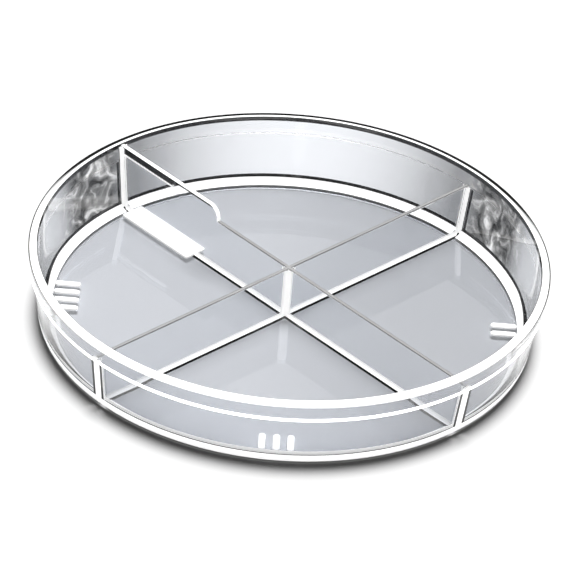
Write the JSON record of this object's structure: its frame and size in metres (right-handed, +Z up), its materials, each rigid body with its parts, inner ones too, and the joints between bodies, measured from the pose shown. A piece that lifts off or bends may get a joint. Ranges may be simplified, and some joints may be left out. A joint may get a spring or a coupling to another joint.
{
  "type": "petri dish",
  "caption": "Open round petri dish base in clear plastic, with crossed dividers, a raised tab on one divider and tally bars that mark the compartments.",
  "frame": {"origin": "centre of the resting face, under the crossing of the dividers", "axes": "+Z up along the dish's axis; the compartments face +X, +Y, -X and -Y, and the divider with the tab points to -X +Y"},
  "size_m": [0.0878, 0.0878, 0.0135],
  "materials": {
    "clear_polystyrene": "clear, glossy as moulded",
    "frosted_polystyrene": "clear plastic with a fine frosted texture, whitish"
  },
  "bodies": {
    "root": {"corner_heel": "clear_polystyrene", "divider_back_left": "clear_polystyrene", "divider_back_right": "clear_polystyrene", "divider_front_left": "clear_polystyrene", "divider_front_right": "clear_polystyrene", "divider_hub": "clear_polystyrene", "end_fillet_back_left": "clear_polystyrene", "end_fillet_back_right": "clear_polystyrene", "end_fillet_front_left": "clear_polystyrene", "end_fillet_front_right": "clear_polystyrene", "floor_disc": "clear_polystyrene", "foot_ring": "clear_polystyrene", "index_pad": "frosted_polystyrene", "key_tab": "clear_polystyrene", "rim_band": "clear_polystyrene", "rim_edge": "clear_polystyrene", "root_fillet_back_left": "clear_polystyrene", "root_fillet_back_right": "clear_polystyrene", "root_fillet_front_left": "clear_polystyrene", "root_fillet_front_right": "clear_polystyrene", "side_wall": "clear_polystyrene", "tally_bars_front": "frosted_polystyrene", "tally_bars_left": "frosted_polystyrene", "tally_bars_right": "frosted_polystyrene"}
  },
  "joints": []
}
